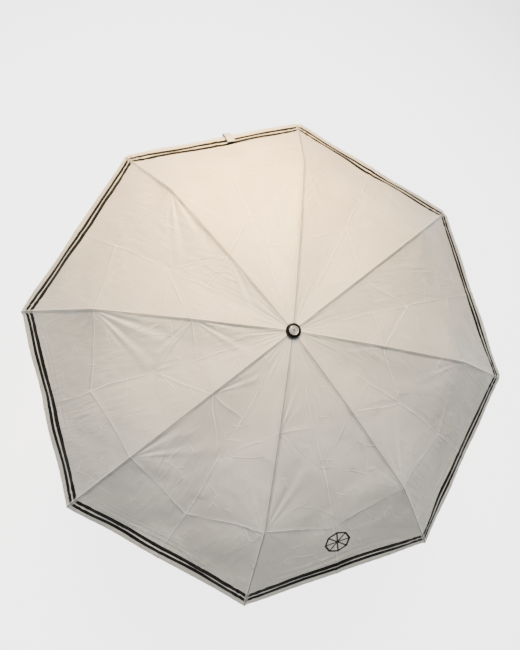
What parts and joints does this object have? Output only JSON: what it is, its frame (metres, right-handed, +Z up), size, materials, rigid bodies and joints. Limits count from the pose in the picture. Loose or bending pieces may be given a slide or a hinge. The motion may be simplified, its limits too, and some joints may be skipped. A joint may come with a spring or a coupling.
{
  "type": "folding umbrella",
  "caption": "Open folding umbrella with a pale striped-hem canopy, three-section ribs, telescoping metal shaft and a short black handle with a wrist-loop hole.",
  "frame": {"origin": "centre of the handle's grip, on the shaft's axis", "axes": "+Z up the shaft to the ferrule, +X along rib 1, release button on the -Y side"},
  "size_m": [0.9776, 0.9776, 0.553],
  "materials": {
    "canopy_fabric": "satin",
    "strap_fabric": "satin",
    "rib_black": "satin",
    "stretcher_black": "satin",
    "link_steel": "satin",
    "outer_rib_black": "semi-gloss",
    "shaft_steel": "polished",
    "pin_steel": "satin",
    "spring_steel": "satin",
    "handle_rubber": "matte",
    "black_plastic": "matte",
    "cap_gloss": "gloss",
    "disc_metal": "brushed",
    "button_plastic": "semi-gloss"
  },
  "bodies": {
    "handle": {"handle_grip": "handle_rubber", "handle_end_cap": "black_plastic", "handle_collar": "shaft_steel", "lower_tube": "shaft_steel", "button_spring": "spring_steel", "opening_spring": "spring_steel"},
    "button": {"release_button": "button_plastic"},
    "middle_shaft": {"middle_tube": "shaft_steel", "middle_tube_bush": "black_plastic"},
    "upper_shaft": {"upper_tube": "shaft_steel", "upper_tube_bush": "black_plastic", "crown": "black_plastic", "crown_pins": "pin_steel", "ferrule_cap": "cap_gloss", "ferrule_disc": "disc_metal", "canopy": "canopy_fabric", "tie_strap": "strap_fabric"},
    "runner": {"runner": "black_plastic", "runner_pins": "pin_steel", "runner_latch": "button_plastic"},
    "inner_rib_1": {"inner_rib_1": "rib_black"},
    "inner_rib_2": {"inner_rib_2": "rib_black"},
    "inner_rib_3": {"inner_rib_3": "rib_black"},
    "inner_rib_4": {"inner_rib_4": "rib_black"},
    "inner_rib_5": {"inner_rib_5": "rib_black"},
    "inner_rib_6": {"inner_rib_6": "rib_black"},
    "inner_rib_7": {"inner_rib_7": "rib_black"},
    "inner_rib_8": {"inner_rib_8": "rib_black"},
    "stretcher_1": {"stretcher_1": "stretcher_black"},
    "stretcher_2": {"stretcher_2": "stretcher_black"},
    "stretcher_3": {"stretcher_3": "stretcher_black"},
    "stretcher_4": {"stretcher_4": "stretcher_black"},
    "stretcher_5": {"stretcher_5": "stretcher_black"},
    "stretcher_6": {"stretcher_6": "stretcher_black"},
    "stretcher_7": {"stretcher_7": "stretcher_black"},
    "stretcher_8": {"stretcher_8": "stretcher_black"},
    "control_link_1": {"control_link_1": "link_steel"},
    "control_link_2": {"control_link_2": "link_steel"},
    "control_link_3": {"control_link_3": "link_steel"},
    "control_link_4": {"control_link_4": "link_steel"},
    "control_link_5": {"control_link_5": "link_steel"},
    "control_link_6": {"control_link_6": "link_steel"},
    "control_link_7": {"control_link_7": "link_steel"},
    "control_link_8": {"control_link_8": "link_steel"},
    "middle_rib_1": {"middle_rib_1": "rib_black"},
    "middle_rib_2": {"middle_rib_2": "rib_black"},
    "middle_rib_3": {"middle_rib_3": "rib_black"},
    "middle_rib_4": {"middle_rib_4": "rib_black"},
    "middle_rib_5": {"middle_rib_5": "rib_black"},
    "middle_rib_6": {"middle_rib_6": "rib_black"},
    "middle_rib_7": {"middle_rib_7": "rib_black"},
    "middle_rib_8": {"middle_rib_8": "rib_black"},
    "outer_rib_1": {"outer_rib_1": "outer_rib_black"},
    "outer_rib_2": {"outer_rib_2": "outer_rib_black"},
    "outer_rib_3": {"outer_rib_3": "outer_rib_black"},
    "outer_rib_4": {"outer_rib_4": "outer_rib_black"},
    "outer_rib_5": {"outer_rib_5": "outer_rib_black"},
    "outer_rib_6": {"outer_rib_6": "outer_rib_black"},
    "outer_rib_7": {"outer_rib_7": "outer_rib_black"},
    "outer_rib_8": {"outer_rib_8": "outer_rib_black"}
  },
  "joints": [
    {"name": "middle_tube_slide", "type": "slide", "parent": "handle", "child": "middle_shaft", "axis": [0, 0, -1], "range_m": [0, 0.125], "deforming": ["opening_spring"]},
    {"name": "upper_tube_slide", "type": "slide", "parent": "middle_shaft", "child": "upper_shaft", "axis": [0, 0, -1], "range_m": [0, 0.125]},
    {"name": "release_press", "type": "slide", "parent": "handle", "child": "button", "axis": [0, 1, 0], "range_m": [0, 0.0025], "stiffness_N_per_m": 600, "springref_m": -0.0005, "deforming": ["button_spring"]},
    {"name": "canopy_fold", "type": "hinge", "parent": "upper_shaft", "child": "inner_rib_1", "pos_m": [0.0105, 0, 0.501], "axis": [0, 1, 0], "range_deg": [0, 82], "deforming": ["canopy", "tie_strap"]},
    {"name": "stretcher_fold_1", "type": "hinge", "parent": "inner_rib_1", "child": "stretcher_1", "pos_m": [0.10557, 0, 0.48764], "axis": [0, 1, 0], "range_deg": [-164, 0]},
    {"name": "middle_fold_1", "type": "hinge", "parent": "inner_rib_1", "child": "middle_rib_1", "pos_m": [0.17228, 0, 0.48089], "axis": [0, 1, 0], "range_deg": [-185, 0]},
    {"name": "outer_fold_1", "type": "hinge", "parent": "middle_rib_1", "child": "outer_rib_1", "pos_m": [0.33985, 0, 0.43769], "axis": [0, 1, 0], "range_deg": [0, 152]},
    {"name": "link_fold_1", "type": "hinge", "parent": "stretcher_1", "child": "control_link_1", "pos_m": [0.1064, 0, 0.4817], "axis": [0, 1, 0], "range_deg": [0, 165.66]},
    {"name": "inner_fold_2", "type": "hinge", "parent": "upper_shaft", "child": "inner_rib_2", "pos_m": [0.00742, 0.00742, 0.501], "axis": [-0.7071, 0.7071, 0], "range_deg": [0, 82]},
    {"name": "stretcher_fold_2", "type": "hinge", "parent": "inner_rib_2", "child": "stretcher_2", "pos_m": [0.07465, 0.07465, 0.48764], "axis": [-0.7071, 0.7071, 0], "range_deg": [-164, 0]},
    {"name": "middle_fold_2", "type": "hinge", "parent": "inner_rib_2", "child": "middle_rib_2", "pos_m": [0.12182, 0.12182, 0.48089], "axis": [-0.7071, 0.7071, 0], "range_deg": [-185, 0]},
    {"name": "outer_fold_2", "type": "hinge", "parent": "middle_rib_2", "child": "outer_rib_2", "pos_m": [0.24031, 0.24031, 0.43769], "axis": [-0.7071, 0.7071, 0], "range_deg": [0, 152]},
    {"name": "link_fold_2", "type": "hinge", "parent": "stretcher_2", "child": "control_link_2", "pos_m": [0.07524, 0.07524, 0.4817], "axis": [-0.7071, 0.7071, 0], "range_deg": [0, 165.66]},
    {"name": "inner_fold_3", "type": "hinge", "parent": "upper_shaft", "child": "inner_rib_3", "pos_m": [0, 0.0105, 0.501], "axis": [-1, 0, 0], "range_deg": [0, 82]},
    {"name": "stretcher_fold_3", "type": "hinge", "parent": "inner_rib_3", "child": "stretcher_3", "pos_m": [0, 0.10557, 0.48764], "axis": [-1, 0, 0], "range_deg": [-164, 0]},
    {"name": "middle_fold_3", "type": "hinge", "parent": "inner_rib_3", "child": "middle_rib_3", "pos_m": [0, 0.17228, 0.48089], "axis": [-1, 0, 0], "range_deg": [-185, 0]},
    {"name": "outer_fold_3", "type": "hinge", "parent": "middle_rib_3", "child": "outer_rib_3", "pos_m": [0, 0.33985, 0.43769], "axis": [-1, 0, 0], "range_deg": [0, 152]},
    {"name": "link_fold_3", "type": "hinge", "parent": "stretcher_3", "child": "control_link_3", "pos_m": [0, 0.1064, 0.4817], "axis": [-1, 0, 0], "range_deg": [0, 165.66]},
    {"name": "inner_fold_4", "type": "hinge", "parent": "upper_shaft", "child": "inner_rib_4", "pos_m": [-0.00742, 0.00742, 0.501], "axis": [-0.7071, -0.7071, 0], "range_deg": [0, 82]},
    {"name": "stretcher_fold_4", "type": "hinge", "parent": "inner_rib_4", "child": "stretcher_4", "pos_m": [-0.07465, 0.07465, 0.48764], "axis": [-0.7071, -0.7071, 0], "range_deg": [-164, 0]},
    {"name": "middle_fold_4", "type": "hinge", "parent": "inner_rib_4", "child": "middle_rib_4", "pos_m": [-0.12182, 0.12182, 0.48089], "axis": [-0.7071, -0.7071, 0], "range_deg": [-185, 0]},
    {"name": "outer_fold_4", "type": "hinge", "parent": "middle_rib_4", "child": "outer_rib_4", "pos_m": [-0.24031, 0.24031, 0.43769], "axis": [-0.7071, -0.7071, 0], "range_deg": [0, 152]},
    {"name": "link_fold_4", "type": "hinge", "parent": "stretcher_4", "child": "control_link_4", "pos_m": [-0.07524, 0.07524, 0.4817], "axis": [-0.7071, -0.7071, 0], "range_deg": [0, 165.66]},
    {"name": "inner_fold_5", "type": "hinge", "parent": "upper_shaft", "child": "inner_rib_5", "pos_m": [-0.0105, 0, 0.501], "axis": [0, -1, 0], "range_deg": [0, 82]},
    {"name": "stretcher_fold_5", "type": "hinge", "parent": "inner_rib_5", "child": "stretcher_5", "pos_m": [-0.10557, 0, 0.48764], "axis": [0, -1, 0], "range_deg": [-164, 0]},
    {"name": "middle_fold_5", "type": "hinge", "parent": "inner_rib_5", "child": "middle_rib_5", "pos_m": [-0.17228, 0, 0.48089], "axis": [0, -1, 0], "range_deg": [-185, 0]},
    {"name": "outer_fold_5", "type": "hinge", "parent": "middle_rib_5", "child": "outer_rib_5", "pos_m": [-0.33985, 0, 0.43769], "axis": [0, -1, 0], "range_deg": [0, 152]},
    {"name": "link_fold_5", "type": "hinge", "parent": "stretcher_5", "child": "control_link_5", "pos_m": [-0.1064, 0, 0.4817], "axis": [0, -1, 0], "range_deg": [0, 165.66]},
    {"name": "inner_fold_6", "type": "hinge", "parent": "upper_shaft", "child": "inner_rib_6", "pos_m": [-0.00742, -0.00742, 0.501], "axis": [0.7071, -0.7071, 0], "range_deg": [0, 82]},
    {"name": "stretcher_fold_6", "type": "hinge", "parent": "inner_rib_6", "child": "stretcher_6", "pos_m": [-0.07465, -0.07465, 0.48764], "axis": [0.7071, -0.7071, 0], "range_deg": [-164, 0]},
    {"name": "middle_fold_6", "type": "hinge", "parent": "inner_rib_6", "child": "middle_rib_6", "pos_m": [-0.12182, -0.12182, 0.48089], "axis": [0.7071, -0.7071, 0], "range_deg": [-185, 0]},
    {"name": "outer_fold_6", "type": "hinge", "parent": "middle_rib_6", "child": "outer_rib_6", "pos_m": [-0.24031, -0.24031, 0.43769], "axis": [0.7071, -0.7071, 0], "range_deg": [0, 152]},
    {"name": "link_fold_6", "type": "hinge", "parent": "stretcher_6", "child": "control_link_6", "pos_m": [-0.07524, -0.07524, 0.4817], "axis": [0.7071, -0.7071, 0], "range_deg": [0, 165.66]},
    {"name": "inner_fold_7", "type": "hinge", "parent": "upper_shaft", "child": "inner_rib_7", "pos_m": [0, -0.0105, 0.501], "axis": [1, 0, 0], "range_deg": [0, 82]},
    {"name": "stretcher_fold_7", "type": "hinge", "parent": "inner_rib_7", "child": "stretcher_7", "pos_m": [0, -0.10557, 0.48764], "axis": [1, 0, 0], "range_deg": [-164, 0]},
    {"name": "middle_fold_7", "type": "hinge", "parent": "inner_rib_7", "child": "middle_rib_7", "pos_m": [0, -0.17228, 0.48089], "axis": [1, 0, 0], "range_deg": [-185, 0]},
    {"name": "outer_fold_7", "type": "hinge", "parent": "middle_rib_7", "child": "outer_rib_7", "pos_m": [0, -0.33985, 0.43769], "axis": [1, 0, 0], "range_deg": [0, 152]},
    {"name": "link_fold_7", "type": "hinge", "parent": "stretcher_7", "child": "control_link_7", "pos_m": [0, -0.1064, 0.4817], "axis": [1, 0, 0], "range_deg": [0, 165.66]},
    {"name": "inner_fold_8", "type": "hinge", "parent": "upper_shaft", "child": "inner_rib_8", "pos_m": [0.00742, -0.00742, 0.501], "axis": [0.7071, 0.7071, 0], "range_deg": [0, 82]},
    {"name": "stretcher_fold_8", "type": "hinge", "parent": "inner_rib_8", "child": "stretcher_8", "pos_m": [0.07465, -0.07465, 0.48764], "axis": [0.7071, 0.7071, 0], "range_deg": [-164, 0]},
    {"name": "middle_fold_8", "type": "hinge", "parent": "inner_rib_8", "child": "middle_rib_8", "pos_m": [0.12182, -0.12182, 0.48089], "axis": [0.7071, 0.7071, 0], "range_deg": [-185, 0]},
    {"name": "outer_fold_8", "type": "hinge", "parent": "middle_rib_8", "child": "outer_rib_8", "pos_m": [0.24031, -0.24031, 0.43769], "axis": [0.7071, 0.7071, 0], "range_deg": [0, 152]},
    {"name": "link_fold_8", "type": "hinge", "parent": "stretcher_8", "child": "control_link_8", "pos_m": [0.07524, -0.07524, 0.4817], "axis": [0.7071, 0.7071, 0], "range_deg": [0, 165.66]},
    {"name": "runner_ride", "type": "hinge", "parent": "stretcher_1", "child": "runner", "pos_m": [0.0105, 0, 0.47428], "axis": [0, 1, 0], "range_deg": [0, 82]}
  ],
  "couplings": [
    {"joint": "stretcher_fold_1", "follows": "canopy_fold", "ratio": -2},
    {"joint": "middle_fold_1", "follows": "canopy_fold", "ratio": -2.2561},
    {"joint": "outer_fold_1", "follows": "canopy_fold", "ratio": 1.8537},
    {"joint": "link_fold_1", "follows": "canopy_fold", "ratio": 2.0201},
    {"joint": "inner_fold_2", "follows": "canopy_fold", "ratio": 1},
    {"joint": "stretcher_fold_2", "follows": "canopy_fold", "ratio": -2},
    {"joint": "middle_fold_2", "follows": "canopy_fold", "ratio": -2.2561},
    {"joint": "outer_fold_2", "follows": "canopy_fold", "ratio": 1.8537},
    {"joint": "link_fold_2", "follows": "canopy_fold", "ratio": 2.0201},
    {"joint": "inner_fold_3", "follows": "canopy_fold", "ratio": 1},
    {"joint": "stretcher_fold_3", "follows": "canopy_fold", "ratio": -2},
    {"joint": "middle_fold_3", "follows": "canopy_fold", "ratio": -2.2561},
    {"joint": "outer_fold_3", "follows": "canopy_fold", "ratio": 1.8537},
    {"joint": "link_fold_3", "follows": "canopy_fold", "ratio": 2.0201},
    {"joint": "inner_fold_4", "follows": "canopy_fold", "ratio": 1},
    {"joint": "stretcher_fold_4", "follows": "canopy_fold", "ratio": -2},
    {"joint": "middle_fold_4", "follows": "canopy_fold", "ratio": -2.2561},
    {"joint": "outer_fold_4", "follows": "canopy_fold", "ratio": 1.8537},
    {"joint": "link_fold_4", "follows": "canopy_fold", "ratio": 2.0201},
    {"joint": "inner_fold_5", "follows": "canopy_fold", "ratio": 1},
    {"joint": "stretcher_fold_5", "follows": "canopy_fold", "ratio": -2},
    {"joint": "middle_fold_5", "follows": "canopy_fold", "ratio": -2.2561},
    {"joint": "outer_fold_5", "follows": "canopy_fold", "ratio": 1.8537},
    {"joint": "link_fold_5", "follows": "canopy_fold", "ratio": 2.0201},
    {"joint": "inner_fold_6", "follows": "canopy_fold", "ratio": 1},
    {"joint": "stretcher_fold_6", "follows": "canopy_fold", "ratio": -2},
    {"joint": "middle_fold_6", "follows": "canopy_fold", "ratio": -2.2561},
    {"joint": "outer_fold_6", "follows": "canopy_fold", "ratio": 1.8537},
    {"joint": "link_fold_6", "follows": "canopy_fold", "ratio": 2.0201},
    {"joint": "inner_fold_7", "follows": "canopy_fold", "ratio": 1},
    {"joint": "stretcher_fold_7", "follows": "canopy_fold", "ratio": -2},
    {"joint": "middle_fold_7", "follows": "canopy_fold", "ratio": -2.2561},
    {"joint": "outer_fold_7", "follows": "canopy_fold", "ratio": 1.8537},
    {"joint": "link_fold_7", "follows": "canopy_fold", "ratio": 2.0201},
    {"joint": "inner_fold_8", "follows": "canopy_fold", "ratio": 1},
    {"joint": "stretcher_fold_8", "follows": "canopy_fold", "ratio": -2},
    {"joint": "middle_fold_8", "follows": "canopy_fold", "ratio": -2.2561},
    {"joint": "outer_fold_8", "follows": "canopy_fold", "ratio": 1.8537},
    {"joint": "link_fold_8", "follows": "canopy_fold", "ratio": 2.0201},
    {"joint": "runner_ride", "follows": "canopy_fold", "ratio": 1}
  ]
}
